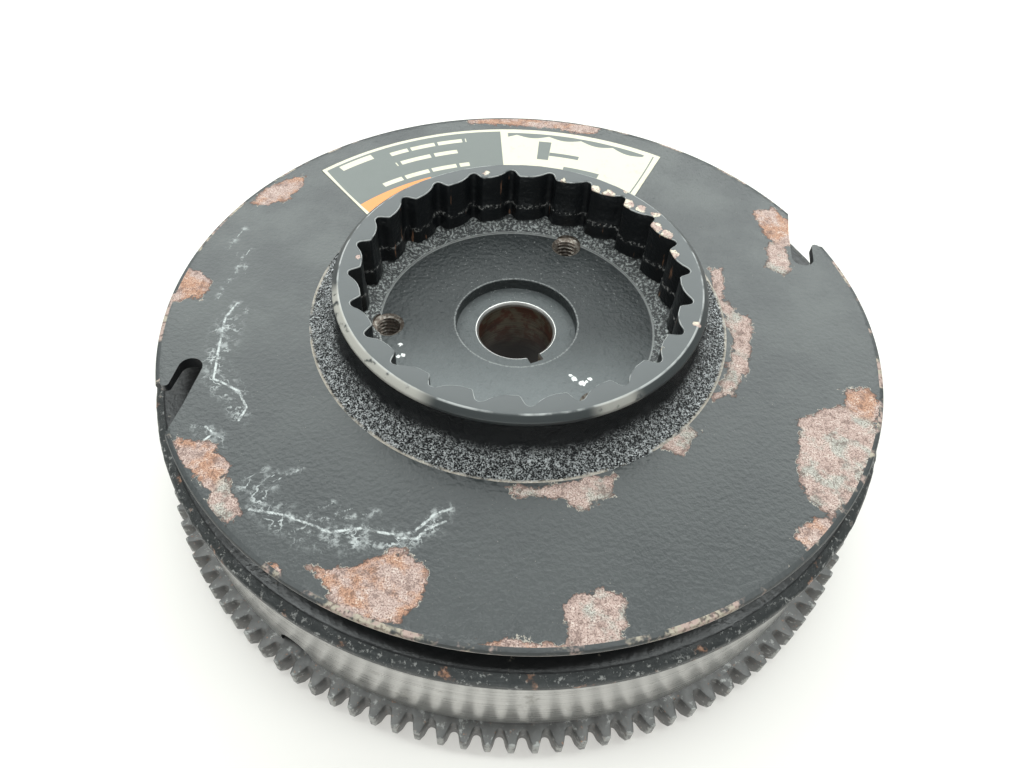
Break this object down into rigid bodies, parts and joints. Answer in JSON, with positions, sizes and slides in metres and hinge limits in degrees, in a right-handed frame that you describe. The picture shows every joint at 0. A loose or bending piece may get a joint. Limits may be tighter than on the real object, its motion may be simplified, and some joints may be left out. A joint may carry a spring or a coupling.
{
  "type": "outboard engine flywheel",
  "caption": "Cast flywheel with shrunk-on starter ring gear, recoil starter ratchet cup, rope groove with knot notches, keyed taper bore and alternator magnets inside the rim.",
  "frame": {"origin": "on the crankshaft axis at the flywheel's bottom rim face", "axes": "+Z along the crankshaft axis, from the magnet bay up to the ratchet cup; +X to the right and +Y away in the pictured view"},
  "size_m": [0.2482, 0.2482, 0.0751],
  "materials": {
    "casting_paint": "dark grey satin paint on cast iron, chipped to rust, rim band machined bright",
    "gear_steel": "blackened steel, bare on the worn tooth edges",
    "ferrite": "dull dark sintered ferrite",
    "cage_plastic": "matt black moulded plastic",
    "carrier_plastic": "matt black moulded plastic",
    "plated_steel": "dull zinc plate",
    "screw_steel": "dull zinc plate",
    "sleeve_steel": "satin stainless steel",
    "label_print": "printed vinyl, dark grey and cream with an orange band"
  },
  "bodies": {
    "root": {"flywheel_casting": "casting_paint", "ring_gear": "gear_steel", "magnet_cage": "cage_plastic", "magnet_retainer": "plated_steel", "retainer_screws": "screw_steel", "trigger_carrier": "carrier_plastic", "trigger_sleeve": "sleeve_steel", "label_sheet": "label_print", "charging_magnet_01": "ferrite", "charging_magnet_02": "ferrite", "charging_magnet_03": "ferrite", "charging_magnet_04": "ferrite", "charging_magnet_05": "ferrite", "charging_magnet_06": "ferrite", "charging_magnet_07": "ferrite", "charging_magnet_08": "ferrite", "charging_magnet_09": "ferrite", "charging_magnet_10": "ferrite", "charging_magnet_11": "ferrite", "charging_magnet_12": "ferrite", "trigger_magnet_01": "ferrite", "trigger_magnet_02": "ferrite"}
  },
  "joints": []
}
